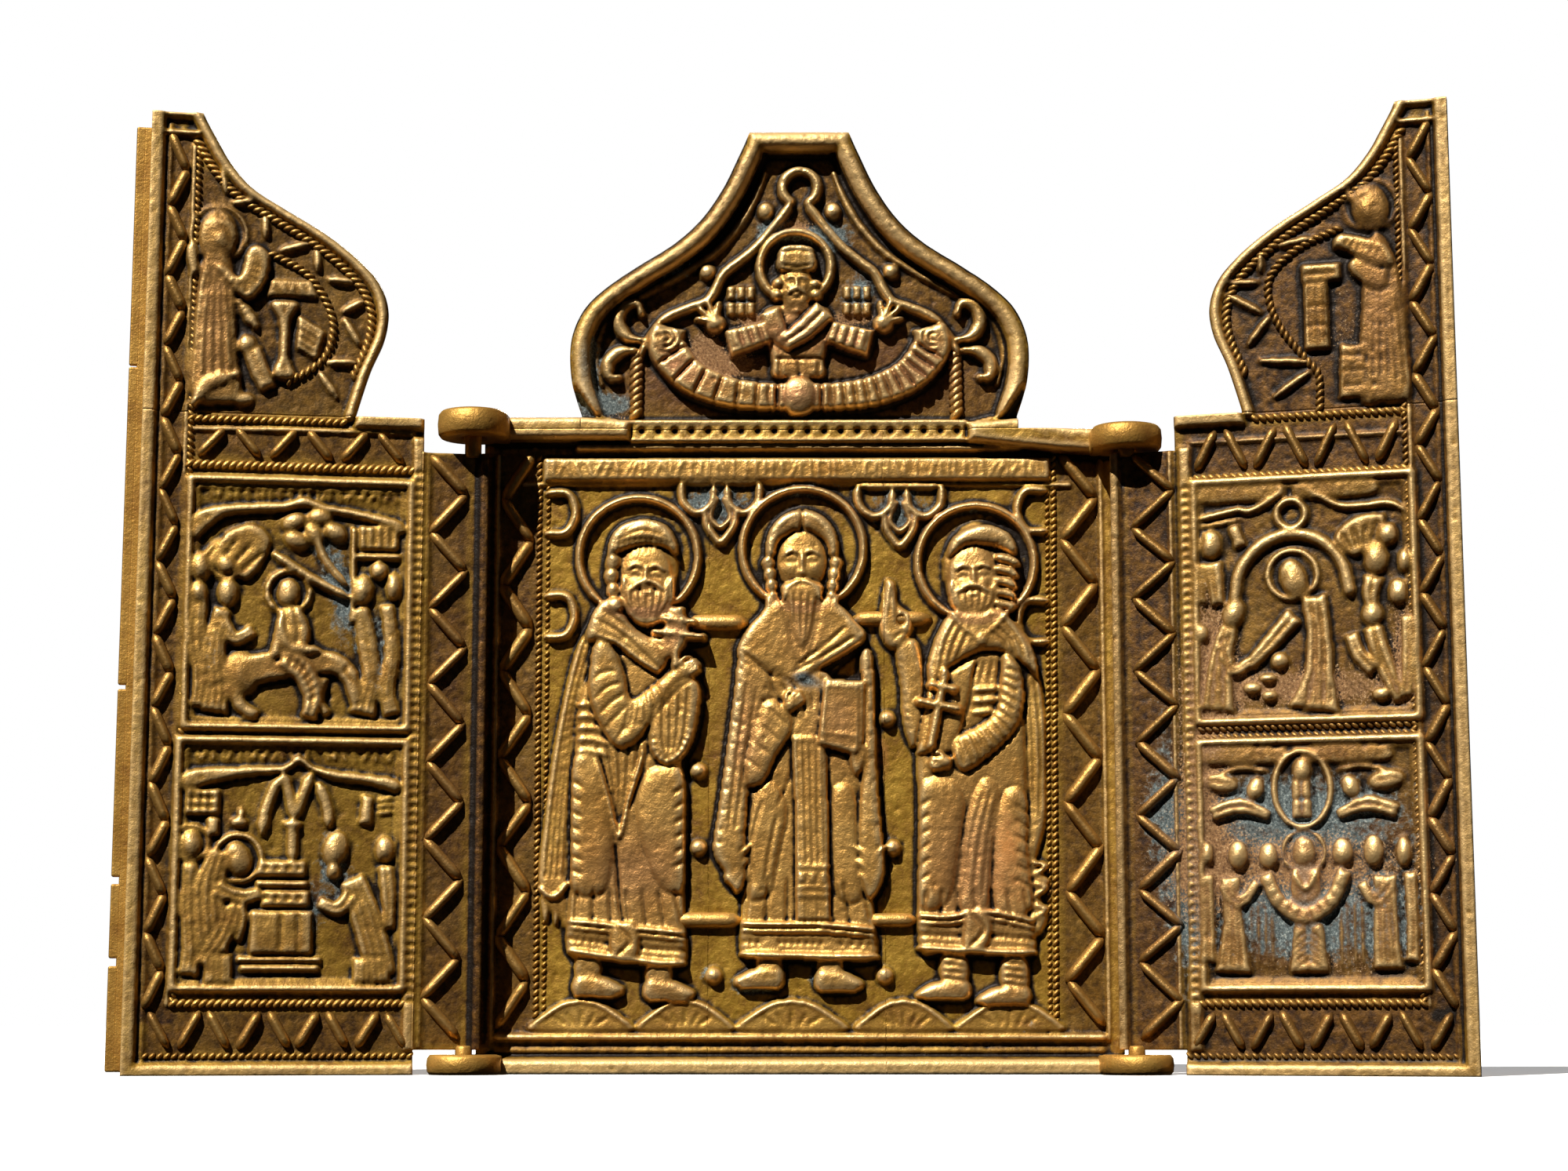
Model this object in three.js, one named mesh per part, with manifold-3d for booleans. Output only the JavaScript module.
// Small cast brass travelling triptych: a centre panel with an ogee crest and two hinged wings.
// Millimetres, +Z up, the carved faces look toward -Y, everything stands on z = 0.
import * as THREE from 'three';
import Module from 'manifold-3d';

// ---- driving dimensions ----
const HEIGHT = 143.5;          // floor to the flat top of the crest
const AXIS_X = 49.2;           // hinge axis, left and right of the middle
const AXIS_Y = -5.0;           // hinge axis in front of the centre ground
const HALF_PANEL = 48.0;       // half width of the centre plate
const PLATE = 2.6;             // centre plate behind its ground
const RIM = 3.0;               // crest rim and shelves in front of the ground
const SHOULDER_L = 98.6;       // top of the centre plate at the left lug
const SHOULDER_R = 96.8;       // the casting sags toward the right lug
const LUG_R = 5.4;             // hinge lug disc
const HOLE_R = 1.6;            // bore through a lug
const STUB_R = 1.25;           // pivot stub cast on the wing
const STRIP_BOTTOM = 3.6;      // hinge strip of a wing, lower end
const STRIP_TOP = 92.2;        // hinge strip of a wing, upper end
const BOTTOM_LUG = 2.9;        // thickness of the lower lugs
const WING_TOP = 143.0;        // flat top of the wings
const WING_EDGE = 48.9;        // outer edge of a wing, from its axis
const LAP = 2.3;               // closing strip on the left wing, past its edge
const WING_BACK = 1.4;         // wing plate behind its axis
const WING_GROUND = 0.4;       // wing ground in front of its axis
const FOLD_LEFT = 10;          // degrees the left wing leans forward at rest
const FOLD_RIGHT = 16;         // degrees the right wing leans forward at rest
const BRASS = 0xa8803a;

const wasm = await Module();
wasm.setup();

// ---- making closed solids ----
const volumeOf = (points, faces) => faces.reduce((sum, [a, b, c]) => {
  const [p, q, r] = [points[a], points[b], points[c]];
  const cross = [q[1] * r[2] - q[2] * r[1], q[2] * r[0] - q[0] * r[2], q[0] * r[1] - q[1] * r[0]];
  return sum + (p[0] * cross[0] + p[1] * cross[1] + p[2] * cross[2]) / 6;
}, 0);

function closed(points, faces) {
  const outward = volumeOf(points, faces) < 0 ? faces.map(([a, b, c]) => [a, c, b]) : faces;
  return new wasm.Manifold(new wasm.Mesh({
    numProp: 3,
    vertProperties: new Float32Array(points.flat()),
    triVerts: new Uint32Array(outward.flat()),
  }));
}

const flat = (outline) => outline.map(([x, z]) => new THREE.Vector2(x, z));
const capOf = (outline) => THREE.ShapeUtils.triangulateShape(flat(outline), []);

// A block between two outlines with the same number of corners, lying at two depths.
function loft(back, backY, front, frontY) {
  const n = back.length;
  const points = [...back.map(([x, z]) => [x, backY, z]), ...front.map(([x, z]) => [x, frontY, z])];
  const faces = [];
  capOf(back).forEach(([a, b, c]) => faces.push([a, b, c]));
  capOf(front).forEach(([a, b, c]) => faces.push([n + a, n + c, n + b]));
  const turn = capOf(back)[0];
  const [p, q, r] = turn.map((i) => back[i]);
  const left = (q[0] - p[0]) * (r[1] - p[1]) - (q[1] - p[1]) * (r[0] - p[0]) > 0;
  const around = THREE.ShapeUtils.area(flat(back)) > 0;
  for (let i = 0; i < n; i += 1) {
    const j = (i + 1) % n;
    const [a, b] = left === around ? [j, i] : [i, j];
    faces.push([a, b, n + b], [a, n + b, n + a]);
  }
  return closed(points, faces);
}

const block = (outline, backY, frontY) => loft(outline, backY, outline, frontY);

// The outline moved inward by d, corner by corner.
function inset(outline, d) {
  const turn = Math.sign(THREE.ShapeUtils.area(flat(outline)));
  const n = outline.length;
  const edge = (i) => {
    const [a, b] = [outline[(i + n) % n], outline[(i + 1 + n) % n]];
    const length = Math.hypot(b[0] - a[0], b[1] - a[1]);
    return [-(b[1] - a[1]) / length * turn, (b[0] - a[0]) / length * turn];
  };
  return outline.map(([x, z], i) => {
    const [p, q] = [edge(i - 1), edge(i)];
    const reach = Math.min(2, 2 / Math.max(0.4, 1 + p[0] * q[0] + p[1] * q[1])) / 2;
    return [x + (p[0] + q[0]) * d * reach, z + (p[1] + q[1]) * d * reach];
  });
}

// Carving on a face: `face` is the height of the ground, in front is more negative Y.
const SINK = 0.3;
function raised(outline, face, height, slope = 0.6) {
  return loft(outline, -face + SINK, inset(outline, slope), -face - height);
}

// A roof-shaped bar between two points of a face: four foot corners and two crown points.
const ROOF = [[0, 1, 2], [0, 2, 3], [1, 0, 4], [2, 1, 4], [2, 4, 5], [3, 2, 5], [3, 5, 4], [3, 4, 0]];

function bar([x0, z0], [x1, z1], width, face, height) {
  const length = Math.hypot(x1 - x0, z1 - z0);
  const [dx, dz] = [(x1 - x0) / length, (z1 - z0) / length];
  const [nx, nz] = [-dz * width / 2, dx * width / 2];
  const e = Math.min(length * 0.3, width * 0.6);
  const y = -face + SINK;
  const points = [
    [x0 + nx, y, z0 + nz], [x0 - nx, y, z0 - nz], [x1 - nx, y, z1 - nz], [x1 + nx, y, z1 + nz],
    [x0 + dx * e, -face - height, z0 + dz * e], [x1 - dx * e, -face - height, z1 - dz * e],
  ];
  return closed(points, ROOF);
}

// A ridge with a sharp crown along a line of points; a closed line makes a ring.
function ridge(line, width, face, height, shut = false) {
  const n = line.length;
  const points = [];
  const faces = [];
  line.forEach(([x, z], i) => {
    const before = line[shut ? (i - 1 + n) % n : Math.max(0, i - 1)];
    const after = line[shut ? (i + 1) % n : Math.min(n - 1, i + 1)];
    const length = Math.hypot(after[0] - before[0], after[1] - before[1]);
    const [nx, nz] = [-(after[1] - before[1]) / length, (after[0] - before[0]) / length];
    const half = width / 2;
    points.push([x - nx * half, -face + SINK, z - nz * half], [x + nx * half, -face + SINK, z + nz * half]);
    points.push([x, -face - height, z]);
  });
  for (let i = 0; i < (shut ? n : n - 1); i += 1) {
    const [a, b] = [i * 3, ((i + 1) % n) * 3];
    for (let k = 0; k < 3; k += 1) {
      const l = (k + 1) % 3;
      faces.push([a + k, b + k, b + l], [a + k, b + l, a + l]);
    }
  }
  if (!shut) {
    const end = (n - 1) * 3;
    faces.push([0, 1, 2], [end, end + 2, end + 1]);
  }
  return closed(points, faces);
}

// A low dome: an oval foot and a smaller oval crown.
function mound([x, z], rx, rz, face, height, sides = 8, crown = 0.55) {
  const oval = (s) => Array.from({ length: sides }, (_, i) => {
    const a = (i + 0.5) * 2 * Math.PI / sides;
    return [x + Math.cos(a) * rx * s, z + Math.sin(a) * rz * s];
  });
  return loft(oval(1), -face + SINK, oval(crown), -face - height);
}

const circle = ([x, z], r, n) => Array.from({ length: n }, (_, i) => {
  const a = i * 2 * Math.PI / n;
  return [x + Math.cos(a) * r, z + Math.sin(a) * r];
});
const halo = (at, r, face, height, n = 12) => ridge(circle(at, r, n), 1.1, face, height, true);
const mirror = (outline) => outline.map(([x, z]) => [-x, z]);
const join = (solids) => solids.reduce((sum, solid) => sum.add(solid));

// A smooth line through control points.
const smooth = (knots, count) => new THREE.CatmullRomCurve3(
  knots.map(([x, z]) => new THREE.Vector3(x, z, 0)), false, 'centripetal',
).getSpacedPoints(count).map((p) => [p.x, p.y]);

// Leaning bars between two edges, running up the page.
function zigzagUp(x0, x1, z0, z1, count, face, height, width = 1.5) {
  const step = (z1 - z0) / count;
  return Array.from({ length: count }, (_, i) => {
    const [low, high] = [z0 + i * step + 0.5, z0 + (i + 1) * step - 0.5];
    const [start, end] = i % 2 ? [x1, x0] : [x0, x1];
    return bar([start, low], [end, high], width, face, height);
  });
}

// The same bars running across the page.
function zigzagAcross(x0, x1, z0, z1, count, face, height, width = 1.4) {
  const step = (x1 - x0) / count;
  return Array.from({ length: count }, (_, i) => {
    const [from, to] = [x0 + i * step + 0.7, x0 + (i + 1) * step - 0.7];
    const [start, end] = i % 2 ? [z0, z1] : [z1, z0];
    return bar([from, start], [to, end], width, face, height);
  });
}

// An upright round pin about a hinge axis.
function pin(x, y, r, z0, z1, sides) {
  const rim = Array.from({ length: sides }, (_, i) => {
    const a = (i + 0.5) * 2 * Math.PI / sides;
    return [x + Math.cos(a) * r, y + Math.sin(a) * r];
  });
  const points = [...rim.map(([px, py]) => [px, py, z0]), ...rim.map(([px, py]) => [px, py, z1])];
  const faces = [];
  for (let i = 1; i < sides - 1; i += 1) faces.push([0, i + 1, i], [sides, sides + i, sides + i + 1]);
  for (let i = 0; i < sides; i += 1) {
    const j = (i + 1) % sides;
    faces.push([i, j, sides + j], [i, sides + j, sides + i]);
  }
  return closed(points, faces);
}

// ---- the centre panel ----
const crestKnots = [
  [33.2, SHOULDER_R + 2.2], [34.6, 103.6], [35, 108.5], [34.4, 112.2], [32.6, 115.8], [29.4, 118.9],
  [24.8, 122.1], [19.2, 125.7], [15, 129.6], [11.7, 134.5], [9.1, 140], [7.6, HEIGHT],
];
const crestSide = (count) => smooth(crestKnots, count);

function panelOutline() {
  const right = crestSide(12);
  const left = mirror(right).reverse();
  return [
    [-HALF_PANEL, 0], [HALF_PANEL, 0], [HALF_PANEL, SHOULDER_R - 0.8],
    ...right, ...left, [-HALF_PANEL, SHOULDER_L - 0.3],
  ];
}

// The dished hollow of the crest, cut between a wide mouth and a narrower floor.
function crestHollow() {
  const right = [[26, 97.8], [31.2, 101.8], ...crestSide(12).slice(2)];
  const mouth = (d) => inset([...right, ...mirror(right).reverse()], d);
  return loft(mouth(3.6), 0.5, mouth(1.7), -RIM - 0.5);
}

function crestRim() {
  const right = [[25.2, 98.2], [25.2, 96.4], [33.4, 96.4], ...crestSide(12)];
  const outline = [...right, ...mirror(right).reverse()];
  return block(outline, SINK, -RIM).subtract(crestHollow());
}

function topShelf() {
  const left = [
    [-45, SHOULDER_L - 0.2], [-45, SHOULDER_L - 3.8], [-25.4, 94.9], [-25.4, 98.4], [-33, SHOULDER_L],
  ];
  const right = [
    [45, SHOULDER_R - 0.6], [45, SHOULDER_R - 3.9], [25.4, 94.6], [25.4, 98.2], [33, SHOULDER_R + 1.6],
  ];
  return [raised(left, 0, RIM, 0.3), raised(right, 0, RIM, 0.3)];
}

// Lug discs at the four corners, each bored for a pivot stub.
function lug(side, z0, z1) {
  const [near, far] = [side * 43.6, side * HALF_PANEL];
  const neck = block([[near, z0], [far, z0], [far, z1], [near, z1]], 0.6, AXIS_Y);
  const disc = pin(side * AXIS_X, AXIS_Y, LUG_R, z0, z1, 15);
  const bore = pin(side * AXIS_X, AXIS_Y, HOLE_R, z0 - 1, z1 + 1, 10);
  return disc.add(neck).subtract(bore);
}

function panelFrame() {
  const edge = 45.9;
  const sill = [[-44, 0], [44, 0], [44, 2.6], [-44, 2.6]];
  const sillFront = [[-44, 0], [44, 0], [43.7, 2.2], [-43.7, 2.2]];
  return [
    ...[-1, 1].map((s) => ridge([[s * edge, 6.2], [s * edge, 93.4]], 0.9, 0, 0.9)),
    ridge([[-39.2, 6.6], [-39.6, 92.6]], 1.2, 0, 1.1),
    ridge([[37.9, 6.6], [38.6, 92.6]], 1.2, 0, 1.1),
    ridge([[-44.5, 5.4], [44.5, 5.4]], 1.1, 0, 1.0),
    loft(sill, SINK, sillFront, -RIM),
    raised([[-25.6, 95], [25.4, 95], [25.4, 97.7], [-25.6, 97.7]], 0, 1.7, 0.3),
    ridge([[-32, 94], [32, 93.9]], 1.4, 0, 1.3),
    raised([[-38.8, 88.9], [38, 88.9], [38, 92.7], [-38.8, 92.7]], 0, 0.5, 0.2),
    ...zigzagUp(-45.2, -40.4, 7, 93.2, 13, 0, 1.2),
    ...zigzagUp(45.2, 39.4, 7, 93.2, 13, 0, 1.2),
  ];
}

// Rounded hills under the feet.
function hills() {
  const tops = [[-32.4, 15], [-17, 14], [-1.2, 16], [15.4, 14], [31, 15.4]];
  return tops.map(([x, w]) => raised([
    [x - w / 2, 6.6], [x + w / 2, 6.6], [x + w * 0.4, 8.9], [x + w * 0.18, 10.4],
    [x - w * 0.18, 10.4], [x - w * 0.4, 8.9],
  ], 0, 0.9, 0.5));
}

function studs() {
  const places = [[-15.1, 44.8], [-15.1, 33.3], [-12.7, 14.4], [13, 52.6], [13.8, 33.3], [12.7, 14.4]];
  return places.map((at) => mound(at, 1.25, 1.25, 0, 1.3, 6, 0.5));
}

// Background bars between the figures, as short rods.
function rods() {
  const rows = [[-16.4, -8, 67.2], [8.4, 19.6, 67.6], [-18.8, -8.4, 22.5], [10.4, 17.4, 22.4]];
  return rows.map(([x0, x1, z]) => ridge([[x0, z], [x1, z]], 1.5, 0, 1.2));
}

// Hanging scrolls between the halos and hooked scrolls along the side ropes.
function scrolls() {
  const loop = (x, z, s) => ridge(smooth([
    [x + s * 5.8, z + 4.2], [x + s * 5, z + 0.9], [x + s * 2.4, z + 0.5], [x + s * 0.9, z + 3.6],
  ], 4), 1.1, 0, 1.1);
  const trefoil = (x, z) => [
    loop(x, z, -1), loop(x, z, 1),
    ridge([[x - 2.2, z - 0.2], [x, z - 4.2], [x + 2.2, z - 0.2]], 1.2, 0, 1.1),
  ];
  const hook = (x, z, s) => ridge(smooth([
    [x, z + 3.1], [x + s * 3.2, z + 2.9], [x + s * 4.3, z - 0.2], [x + s * 3, z - 3], [x, z - 3.2],
  ], 5), 1.1, 0, 1.1);
  return [
    ...trefoil(-12, 84.4), ...trefoil(15, 84.2),
    hook(-38.2, 84, 1), hook(-38.2, 68.4, 1), hook(37.6, 84.3, -1), hook(37.6, 67.5, -1),
  ];
}

// A bearded or plain head: hair cap, face and jaw.
function head([x, z], wide, high, face, height) {
  return [
    mound([x, z], wide / 2, high / 2, face, height, 8, 0.5),
    mound([x, z + high * 0.26], wide * 0.56, high * 0.27, face, height + 0.25, 6, 0.5),
  ];
}

function foot(x, z, s) {
  return [
    raised([[x - 1.7, z + 6], [x + 1.7, z + 6], [x + 2, z], [x - 2, z]], 0, 1.3, 0.5),
    raised([[x - s * 2.1, z + 2], [x + s * 5, z + 1.4], [x + s * 5.8, z + 0.2], [x + s * 4.6, z - 0.9],
      [x - s * 2.1, z - 0.6]], 0, 1.5, 0.5),
  ];
}

// Left figure: cloak falling on the left side, a small cross held in front.
function leftSaint() {
  const body = [
    [-28.6, 69.8], [-32.4, 66.4], [-34.6, 58], [-36.4, 48], [-37.8, 38], [-38.6, 27], [-34.6, 26],
    [-34.6, 16.8], [-16.6, 16.2], [-17.2, 24], [-16.8, 38], [-17.4, 45.4], [-16.4, 51], [-16.2, 58],
    [-14.8, 61.4], [-15.6, 64.5], [-19.8, 69.6],
  ];
  const forearm = [[-33, 60], [-29.6, 61.6], [-27, 52], [-18.4, 58.8], [-15.2, 61.2], [-15.4, 57.6],
    [-26.6, 46.8], [-30, 47.4]];
  return [
    halo([-24.4, 77.3], 9.4, 0, 1.1),
    raised(body, 0, 1.5, 0.8),
    raised(forearm, 1.2, 1, 0.7),
    raised([[-34.6, 16.8], [-16.6, 16.2], [-16.9, 21.4], [-34.4, 22]], 1.2, 0.6, 0.4),
    bar([-17.9, 59.6], [-17.7, 70.2], 1.9, 1.2, 1.2),
    bar([-21.4, 65.4], [-14.4, 65], 1.9, 1.2, 1.1),
    ...head([-24, 75.6], 10.4, 14, 0, 2.3),
    ...foot(-31.4, 11.6, 1), ...foot(-20.8, 11.4, 1),
  ];
}

// Middle figure: long beard, open cloak, a book held at the breast.
function middleSaint() {
  const body = [
    [-4.6, 70], [-8.6, 66.2], [-9.8, 60.5], [-12, 48], [-13.4, 35], [-10.6, 29.4], [-8.8, 25.6],
    [-8.8, 17.6], [11.2, 17], [10.8, 24.6], [12.4, 29], [11.5, 40], [11.2, 52], [10.6, 61], [8.8, 66.6],
    [4.6, 70],
  ];
  return [
    halo([0.5, 78.5], 9.7, 0, 1.1),
    raised(body, 0, 1.6, 0.8),
    raised([[-1.6, 26.4], [4, 26.4], [3.4, 52], [-1.2, 52]], 1.3, 0.5, 0.3),
    raised([[2.8, 49.2], [8.6, 49.6], [9, 58.4], [3.2, 58]], 1.3, 1.1, 0.3),
    raised([[-6.6, 44], [-2.6, 50.4], [1.8, 53.4], [3, 58.6], [-1.4, 58.4], [-5.2, 54],
      [-8, 46]], 1.3, 0.9, 0.5),
    raised([[-8.8, 17.6], [11.2, 17], [10.9, 22], [-8.7, 22.6]], 1.3, 0.6, 0.4),
    raised([[-2.6, 73], [2.8, 73], [2.2, 64], [0.6, 61.4], [-0.6, 61.4], [-1.8, 64]], 0.4, 2.2, 0.5),
    ...head([0.1, 77.4], 9.4, 12.6, 0, 2.4),
    ...foot(-4.6, 13.2, -1), ...foot(4.6, 13, 1),
  ];
}

// Right figure: one hand raised, a cross against the breast, boots.
function rightSaint() {
  const body = [
    [22.6, 69.2], [20.4, 66], [19, 60], [18, 52], [16.9, 46.4], [17.6, 41.6], [17.4, 31], [17.6, 18.4],
    [34.2, 17.6], [36, 22], [36.4, 30], [36.3, 44], [36, 57], [34.4, 64.4], [31.6, 68.6],
  ];
  const forearm = [[28.6, 58.6], [32.4, 60.6], [31.8, 50], [25.4, 44.8], [18, 41.8], [16.8, 45.6],
    [23.4, 48.8], [28, 53.4]];
  const raisedArm = [[13, 62.4], [16.4, 64.4], [17.8, 58], [18.4, 50], [16.4, 47.6], [14.8, 54]];
  return [
    halo([26.7, 76.3], 9, 0, 1.1),
    raised(body, 0, 1.5, 0.8),
    raised(raisedArm, 0, 1.6, 0.6),
    raised([[11.2, 66], [13.4, 63], [16.2, 65.2], [16.4, 69], [14.4, 70.4], [13.6, 74.2],
      [11.6, 72.4]], 0, 1.6, 0.6),
    raised(forearm, 1.2, 1, 0.7),
    bar([20.6, 47.8], [22, 60], 1.9, 1.2, 1),
    bar([18, 56], [24.6, 55.4], 1.8, 1.2, 0.9),
    raised([[17.6, 18.4], [34.2, 17.6], [34, 22.6], [17.6, 23.2]], 1.2, 0.6, 0.4),
    ...head([26.6, 75.6], 9.8, 12.4, 0, 2.3),
    ...foot(22.4, 12.2, -1), ...foot(31.8, 11.4, -1),
  ];
}

// Crest carving: half figure in a halo, arms spread over a garland of ringed horns.
function crestFigure() {
  const arch = [[0, 132.4], [-3.6, 127.8], [-9, 122.6], [-14.6, 118.4], [-20.6, 113.4], [-24.8, 110.4]];
  const horn = (s) => [
    [21.6 * s, 113.2], [25.2 * s, 111.6], [24.2 * s, 107], [18.8 * s, 102.8], [10.8 * s, 100.2],
      [1.6 * s, 99.8], [1.6 * s, 104.4], [9.6 * s, 105.2], [16.4 * s, 107.8],
  ];
  const arm = (s) => [[4 * s, 116.6], [3 * s, 111.6], [10.6 * s, 109.4], [12.8 * s, 111.2],
    [9.8 * s, 113.4]];
  const face = -0.2;
  return [
    ridge(arch, 1, face, 1.1), ridge(mirror(arch), 1, face, 1.1),
    ridge(circle([-0.2, 134.6], 2.6, 8), 0.9, face, 1, true),
    mound([-0.2, 134.6], 1.1, 1.1, face, 1.3, 6), mound([-5.8, 131], 1, 1.2, face, 1, 6),
    mound([4.6, 131.2], 1, 1.2, face, 1, 6), mound([-14.2, 121.3], 1.1, 1.1, face, 1, 6),
    mound([13.8, 121.1], 1.1, 1.1, face, 1, 6),
    ridge(circle([-1.1, 122.3], 5.6, 10), 1, face, 1, true),
    mound([-1, 120.4], 2.6, 4.6, face, 2, 8, 0.5),
    raised([[-3.8, 117.4], [3.2, 117.4], [5, 112], [3, 104], [-4, 104], [-6, 112]], face, 1.7, 0.7),
    ...[-1, 1].map((s) => raised(arm(s), face, 2, 0.7)),
    mound([-13.2, 113.8], 1.7, 2.6, face, 1.6, 6), mound([12.6, 114.2], 1.7, 2.6, face, 1.6, 6),
    ...[-1, 1].map((s) => raised(horn(s), face, 2.1, 0.9)),
    mound([-0.2, 102.2], 3.2, 3.4, face, 2.6, 8, 0.5),
    raised([[-12, 115.8], [-7.6, 115.8], [-7.6, 119], [-12, 119]], face, 0.5, 0.2),
    raised([[6, 116], [10.4, 116], [10.4, 119.2], [6, 119.2]], face, 0.5, 0.2),
    ridge([[-25.2, 98.6], [-25, 110]], 1, face, 1), ridge([[24, 98.6], [24, 110]], 1, face, 1),
    mound([-25.6, 114.8], 2.2, 1.8, face, 1.2, 6), mound([-29.3, 107.4], 2, 1.8, face, 1.2, 6),
    mound([25.2, 114.8], 2.2, 1.8, face, 1.2, 6), mound([28, 106.6], 2.2, 2, face, 1.2, 6),
  ];
}

function centrePanel() {
  return join([
    block(panelOutline(), PLATE, 0), crestRim(), ...topShelf(),
    lug(-1, SHOULDER_L - 3.9, SHOULDER_L), lug(1, SHOULDER_R - 4.2, SHOULDER_R - 0.6),
    lug(-1, 0, BOTTOM_LUG), lug(1, 0, BOTTOM_LUG),
    ...panelFrame(), ...hills(), ...studs(), ...rods(), ...scrolls(),
    ...leftSaint(), ...middleSaint(), ...rightSaint(), ...crestFigure(),
  ]);
}

// ---- the wings, drawn flat: x is the distance outward from the axis ----
const wingCrest = [
  [17.6, 97.6], [15.6, 104.4], [13.6, 109.4], [13.1, 113.6], [14.4, 117.6], [17.6, 121.2],
  [22.6, 125], [28.4, 128.4], [33.6, 131.6], [37, 135.4], [39.4, 139.4], [41.4, WING_TOP],
];
const wingSide = (count) => smooth(wingCrest, count);

function wingOutline(edge) {
  return [
    [7.4, 0], [edge, 0], [edge, WING_TOP], ...wingSide(12).reverse(),
    [8, 97.2], [7.6, STRIP_TOP], [-1.6, STRIP_TOP], [-1.6, STRIP_BOTTOM], [6.6, STRIP_BOTTOM],
  ];
}

// Frames, ropes and zigzag rows of a wing; `f` holds the few sizes that differ left and right.
function wingFrame(f) {
  const g = WING_GROUND;
  const top = wingSide(12).map(([x, z]) => [x + 2.3, z - 0.4]);
  return [
    ridge([[-0.7, STRIP_BOTTOM + 0.1], [-0.7, STRIP_TOP - 0.1]], 1.8, g, 1.2),
    raised([[46.9, 0.6], [48.8, 0.6], [48.8, 142.6], [46.9, 142.6]], g, 1.1, 0.35),
    raised([[7.6, 0.1], [48.6, 0.1], [48.6, 1.9], [7.6, 1.9]], g, 1.1, 0.35),
    raised([[42.4, 140.4], [48.6, 140.4], [48.6, 142.8], [41.6, 142.8]], g, 1, 0.3),
    ridge(top.slice(1, 12), 1.2, g, 1.2),
    raised([[8.2, 95.6], [18.6, 95.6], [18.6, 97], [8.2, 97]], g, 1.1, 0.3),
    ridge([[19.5, 96.3], [f.column, 96.2]], 1.1, g, 1),
    ridge([[f.strip, f.rope], [f.column, f.rope]], 1.3, g, 1.1),
    ridge([[f.strip, 10.5], [f.column, 10.5]], 1.2, g, 1.1),
    ridge([[7.8, 3.4], [46, 2.9]], 0.9, g, 0.8),
    ridge([[f.column + 0.8, 10], [f.column + 0.6, 139]], 1.1, g, 1),
    ridge([[f.strip - 1, 9.5], [f.strip - 1, f.rope + 0.5]], 1.9, g, 1),
    ...zigzagUp(46.4, f.column + 1.6, 9.6, 139.6, f.outerBars, g, 1.1),
    ...zigzagUp(0.9, f.strip - 2.3, 6, 91.4, f.innerBars, g, 1.1),
    ...zigzagAcross(9.6, f.column, f.rope + 1.1, 95, f.topBars, g, 1.1),
    ...zigzagAcross(7.6, 45.6, 4, 9.4, 9, g, 1.1),
  ];
}

// A robed figure: gown, head and an optional halo.
function robed([x, z], wide, high, lean, withHalo = false) {
  const g = WING_GROUND;
  const top = z + high;
  const elbows = wide < 5 ? [] : [[x + wide * 0.42 + lean * 0.6, z + high * 0.62]];
  const gown = [
    [x - wide / 2, z], [x + wide / 2, z], ...elbows,
    [x + wide * 0.24 + lean, top - high * 0.2], [x - wide * 0.24 + lean, top - high * 0.2],
    ...elbows.map(([ex, ez]) => [ex - wide * 0.84, ez]),
  ];
  const brow = [x + lean, top - high * 0.1];
  const solids = [raised(gown, g, 0.9, 0.4), mound(brow, high * 0.09, high * 0.12, g, 1.15,
    wide < 5 ? 5 : 6)];
  if (withHalo) solids.push(ridge(circle(brow, high * 0.16, 7), 0.7, g, 0.8, true));
  return solids;
}

// A framed scene: raised border, a band for strokes and a hanging drape line under it.
function sceneFrame(x0, x1, z0, z1) {
  const g = WING_GROUND;
  const sides = [[x0, z0], [x1, z0], [x1, z1], [x0, z1]];
  return [
    ridge(sides, 1, g, 0.9, true),
    raised([[x0 + 1.4, z1 - 4], [x1 - 1.4, z1 - 4], [x1 - 1.4, z1 - 1.4],
      [x0 + 1.4, z1 - 1.4]], g, 0.45, 0.2),
  ];
}

// Left wing, upper scene: standing figure with a raised arm beside a tall vase.
function leftCrestScene() {
  const g = WING_GROUND;
  const arch = smooth([[30.6, 121.6], [25, 118.4], [21.2, 112], [22.4, 106], [27.4, 102.6]], 6);
  const rays = [[37.6, 131.4, 38.4, 134.6], [33.2, 129.8, 36.8, 129.4], [31.6, 124.4, 31.8, 127.6],
    [25.4, 123.4, 29.4, 122.4], [23.8, 119.6, 24, 122.4], [18.6, 118, 22, 118.2], [17, 115, 19.8, 113.4],
    [17.4, 108.8, 19.6, 112], [18, 105.6, 22, 105.4], [20.6, 100.4, 23, 103.4]];
  return [
    ridge(arch, 1.1, g, 1),
    ...rays.map(([a, b, c, d]) => bar([a, b], [c, d], 1.2, g, 0.9)),
    ...robed([38.4, 98.4], 7.6, 28.6, 0.6, true),
    raised([[39.8, 117.4], [38, 113.6], [33, 114.8], [31.6, 121.6], [34, 122.2],
      [35.4, 117.4]], g, 1.2, 0.4),
    raised([[31.2, 115.2], [23.8, 115.2], [24.8, 117.8], [30.6, 117.8]], g, 0.6, 0.2),
    raised([[30.4, 114.6], [26.8, 114.6], [27.6, 111.6], [27.6, 106], [26.8, 102.8], [30.2, 102.8],
      [29.4, 106], [29.4, 111.6]], g, 1, 0.3),
    raised([[26.8, 111.8], [22.8, 109.8], [24.2, 105.8], [27, 107.8]], g, 0.9, 0.3),
    raised([[35.4, 109.6], [33.4, 110], [32.6, 106.6], [30.4, 103.6], [31.6, 101.6],
      [34.6, 105]], g, 1, 0.4),
  ];
}

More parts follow.
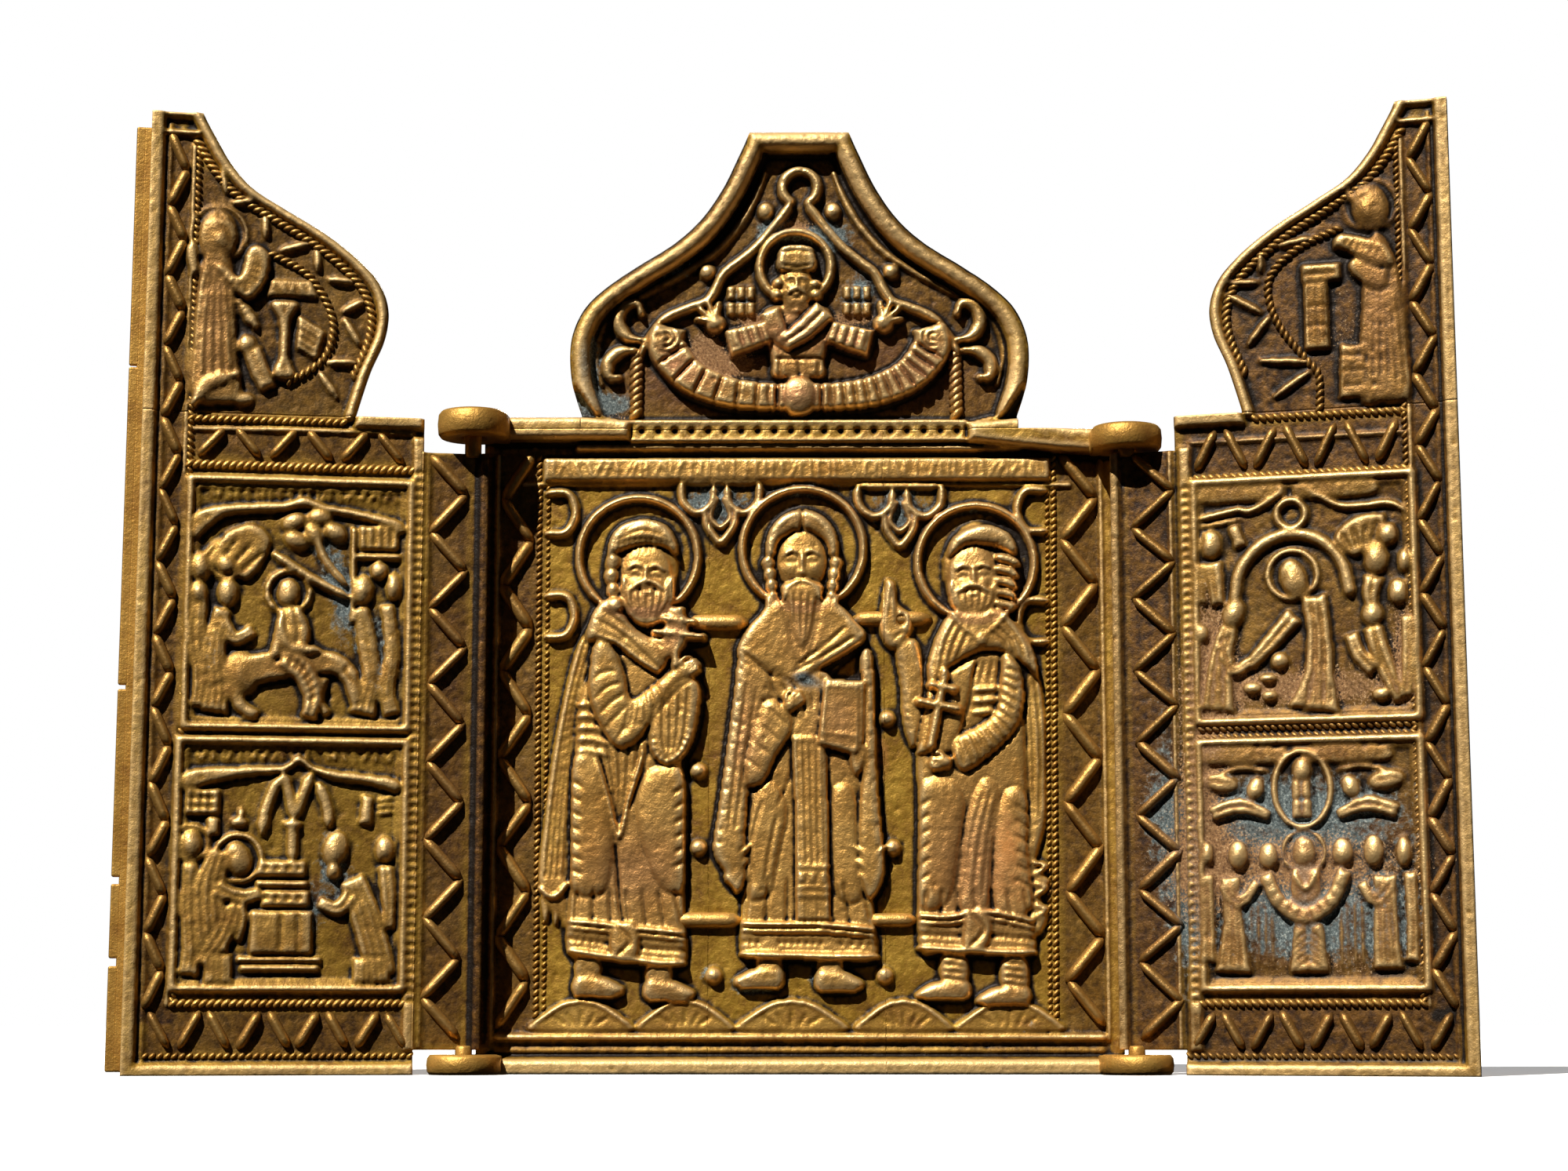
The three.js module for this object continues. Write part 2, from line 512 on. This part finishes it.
// Left wing, main scenes: a rider before a town, and a shrine with attendants.
function leftScenes() {
  const g = WING_GROUND;
  const mount = [[36, 61], [32.6, 62.6], [22, 61.4], [17, 63], [14.6, 54], [16.4, 52], [19.4, 56.8],
    [21.6, 51.6], [23.8, 51.6], [23.8, 56.4], [31, 56], [33.6, 51.6], [35.6, 51.8], [34, 57]];
  return [
    ...sceneFrame(9.6, 41.2, 50.8, 86.8), ...sceneFrame(9.6, 41.6, 12.8, 48.2),
    raised(mount, g, 1.1, 0.4), ...robed([26.2, 56.4], 5.6, 16.6, 0, true),
    ridge([[23.4, 76.8], [28.6, 72.2], [31.4, 70.4]], 1.4, g, 1),
    mound([24, 79.8], 2, 2, g, 1, 6), mound([20.2, 79], 2, 2, g, 1, 6),
      mound([21.6, 76], 1.8, 1.8, g, 1, 6),
    ...robed([37, 53.6], 4.6, 20.8, 0), ...robed([32.6, 56.6], 3.8, 17.4, -0.4),
    ...robed([16, 53.4], 4.4, 20.4, 0), ...robed([12, 52.4], 3.6, 20.4, 0),
    raised([[12, 76.4], [18.4, 76.4], [18.4, 81.4], [12, 81.4]], g, 0.6, 0.3),
    raised([[30.6, 16.2], [20.8, 16.2], [21.8, 19], [21.8, 30.6], [29.8, 30.6], [29.8, 19]], g, 1, 0.4),
    raised([[26.4, 44.6], [24.6, 44.6], [23.6, 34], [24.4, 30.8], [27.4, 30.8], [28, 34]], g, 0.9, 0.3),
    ...robed([39.4, 16.4], 3.4, 18, 0), ...robed([34, 15.4], 6.2, 18.6, 0.4),
    ...robed([17.2, 15.4], 6.2, 18.4, 0.2), ...robed([12.4, 15.6], 3.6, 18.4, 0),
    raised([[40, 35.6], [34.6, 35.6], [34.6, 39.8], [40, 39.8]], g, 0.6, 0.3),
  ];
}

// Right wing, upper scene: a robed figure bowing over a narrow building.
function rightCrestScene() {
  const g = WING_GROUND;
  const arch = smooth([[32.4, 124.4], [26, 121.6], [22, 117.2], [23, 111], [27.4, 104.6],
    [29, 102.4], [29, 97.4]], 7);
  const rays = [[28.6, 123.2, 23.4, 122], [20.8, 118.6, 21, 121.4], [16.2, 117.4, 20.4, 117],
    [16.2, 115.6, 20.8, 112.4], [19.4, 107.6, 22, 111.6], [22, 105, 27.4, 104.4],
      [23.4, 99.4, 27.6, 102.6]];
  return [
    ridge(arch, 1.1, g, 1),
    ...rays.map(([a, b, c, d]) => bar([a, b], [c, d], 1.2, g, 0.9)),
    ...robed([38.6, 98.2], 8, 29.6, -0.6, true),
    raised([[27, 119.4], [32.6, 118.4], [32.6, 116.4], [30.6, 116.2], [30.8, 105.8],
      [27.2, 106.4]], g, 1, 0.3),
    raised([[33, 106.6], [36, 106.4], [36, 98.6], [32.2, 98.6]], g, 0.8, 0.3),
    raised([[39.6, 116], [34, 119.6], [31.8, 121.6], [33.6, 122.6], [36.6, 120.4],
      [40.4, 118.6]], g, 1.2, 0.3),
  ];
}

// Right wing, main scenes: a figure under an arch, and a mandorla over a row of figures.
function rightScenes() {
  const g = WING_GROUND;
  const arch = smooth([[16.6, 69.6], [19, 74.6], [24.6, 77.4], [30.4, 74.6], [33, 69.6]], 6);
  const oval = circle([25.8, 39.2], 4.1, 8);
  return [
    ridge([[10.6, 51.4], [42, 51.4]], 1, g, 0.9), ridge([[10.6, 48.6], [42, 48.6]], 1, g, 0.9),
    ridge([[10.6, 12.8], [42, 12.8]], 0.9, g, 0.8),
    raised([[12, 82.8], [41, 82.4], [41, 85.8], [12, 85.8]], g, 0.5, 0.2),
    raised([[12, 44], [41, 44], [41, 46.8], [12, 46.8]], g, 0.5, 0.2),
    ridge(arch, 1.2, g, 1), ridge(circle([24.7, 80.2], 2, 8), 0.9, g, 1, true),
    ...robed([27.4, 52.6], 7.4, 22, 0, true), ...robed([16.2, 53], 6, 15.4, 0),
    ...robed([37.6, 53], 6, 15.6, -0.6), ...robed([36.6, 66.8], 3, 12.6, 0),
      ...robed([40, 66.8], 2.6, 12, 0),
    ...robed([13.4, 67], 3.2, 12, 0), ...robed([17.2, 67.4], 2.8, 10.6, 0),
    ridge(oval, 0.9, g, 0.9, true), raised([[23.6, 35.8], [28, 35.8], [27.2, 41], [24.4, 41]], g, 1, 0.4),
    mound([25.8, 42], 1.1, 1.2, g, 1.2, 6),
    raised([[12.2, 37], [14.6, 34.6], [20.8, 35.6], [20.6, 40.8], [15, 41.4]], g, 0.8, 0.5),
    raised([[39.8, 37], [37.4, 34.6], [31, 35.6], [31.2, 40.8], [36.8, 41.4]], g, 0.8, 0.5),
    ...robed([15.2, 14.6], 5, 18, 0), ...robed([20.6, 15], 4, 17.6, 0), ...robed([25.8, 14], 6.4, 18.4, 0),
    ...robed([31, 15], 4, 17.6, 0), ...robed([36.8, 14.6], 5, 18, 0),
  ];
}

// Pivot stubs cast on the two ends of the hinge strip.
function stubs(top) {
  return [
    pin(0, 0, STUB_R, STRIP_TOP - 1, top, 10),
    pin(0, 0, STUB_R, 0.5, STRIP_BOTTOM + 1, 10),
  ];
}

const LEFT = { column: 41.6, strip: 9, rope: 89.4, outerBars: 24, innerBars: 15, topBars: 6 };
const RIGHT = { column: 41.6, strip: 9.8, rope: 87.6, outerBars: 24, innerBars: 16, topBars: 7 };

function leftWing() {
  const plate = block(wingOutline(WING_EDGE), WING_BACK, -WING_GROUND);
  const lap = block([[WING_EDGE - 1, 0.4], [WING_EDGE + LAP, 0.4], [WING_EDGE + LAP, 141],
    [WING_EDGE - 1, 141.4]],
    WING_BACK, WING_BACK - 0.8);
  return join([plate, lap, ...wingFrame(LEFT), ...leftCrestScene(), ...leftScenes(),
    ...stubs(SHOULDER_L - 1)]);
}

function rightWing() {
  const rebate = block([[WING_EDGE - LAP - 0.4, -1], [WING_EDGE + 1, -1], [WING_EDGE + 1, 145],
    [WING_EDGE - LAP - 0.4, 145]], WING_BACK + 1, WING_BACK - 1.1);
  const plate = block(wingOutline(WING_EDGE), WING_BACK, -WING_GROUND).subtract(rebate);
  return join([plate, ...wingFrame(RIGHT), ...rightCrestScene(), ...rightScenes(),
    ...stubs(SHOULDER_R - 1.2)]);
}

// ---- finished meshes ----
function geometryOf(solid, move) {
  const mesh = solid.getMesh();
  const geometry = new THREE.BufferGeometry();
  const vertices = new Float32Array(mesh.numVert * 3);
  for (let i = 0; i < mesh.numVert; i += 1) {
    const p = [0, 1, 2].map((k) => mesh.vertProperties[i * mesh.numProp + k]);
    vertices.set(move(p), i * 3);
  }
  geometry.setAttribute('position', new THREE.BufferAttribute(vertices, 3));
  const order = Array.from(mesh.triVerts);
  const flips = move([1, 0, 0])[0] < move([0, 0, 0])[0];
  for (let i = 0; flips && i < order.length; i += 3) [order[i], order[i + 1]] = [order[i + 1], order[i]];
  geometry.setIndex(order);
  return geometry;
}

// Turn a flat-drawn wing about its own axis; side -1 is the left one.
const hung = (side, fold) => ([x, y, z]) => {
  const a = fold * Math.PI / 180;
  const outward = x * Math.cos(a) + y * Math.sin(a);
  return [side * (AXIS_X + outward), AXIS_Y - x * Math.sin(a) + y * Math.cos(a), z];
};

function piece(name, solid, move) {
  const skin = new THREE.MeshStandardMaterial({ color: BRASS, metalness: 0.8, roughness: 0.45 });
  const mesh = new THREE.Mesh(geometryOf(solid, move), skin);
  mesh.name = name;
  return mesh;
}

const group = new THREE.Group();
group.name = 'folding_triptych';
group.add(piece('centre_panel', centrePanel(), (p) => p));
group.add(piece('left_wing', leftWing(), hung(-1, FOLD_LEFT)));
group.add(piece('right_wing', rightWing(), hung(1, FOLD_RIGHT)));

export default group;
